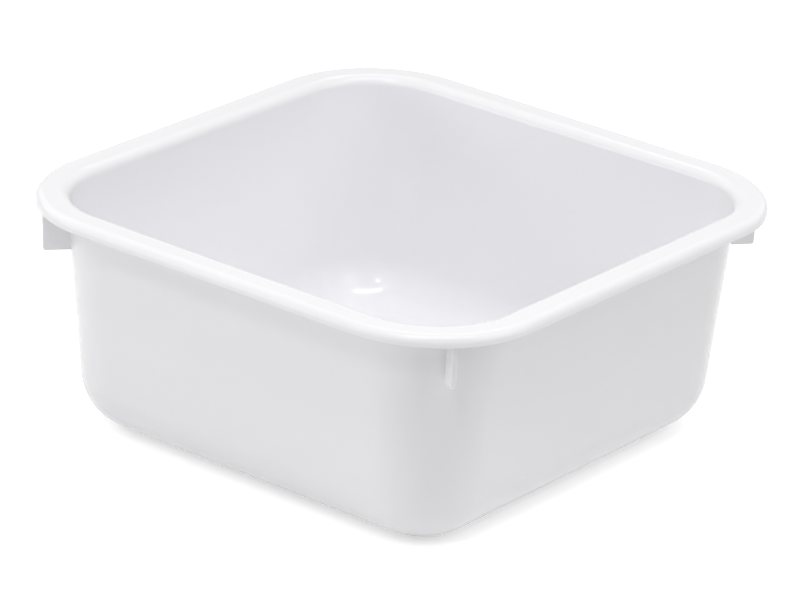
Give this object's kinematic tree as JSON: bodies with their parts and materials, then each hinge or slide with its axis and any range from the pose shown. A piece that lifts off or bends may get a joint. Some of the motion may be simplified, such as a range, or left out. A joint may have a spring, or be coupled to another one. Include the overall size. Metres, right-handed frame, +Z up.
{
  "type": "washing up bowl",
  "caption": "Square open plastic bowl with round corners, drafted walls, a wide rolled rim and upright ribs under it.",
  "frame": {"origin": "centre of the foot ring, on the plane that the bowl stands on", "axes": "+Z up out of the bowl's mouth, X and Y square to its sides"},
  "size_m": [0.36, 0.36, 0.1544],
  "materials": {
    "white_plastic": "satin to semi-gloss white polypropylene, as moulded"
  },
  "bodies": {
    "root": {"basin_floor": "white_plastic", "lower_bend": "white_plastic", "upper_bend": "white_plastic", "side_wall": "white_plastic", "rim_flange": "white_plastic", "rim_edge": "white_plastic", "foot_ring": "white_plastic", "corner_rib_front_left": "white_plastic", "corner_rib_front_right": "white_plastic", "corner_rib_back_right": "white_plastic", "corner_rib_back_left": "white_plastic"}
  },
  "joints": []
}
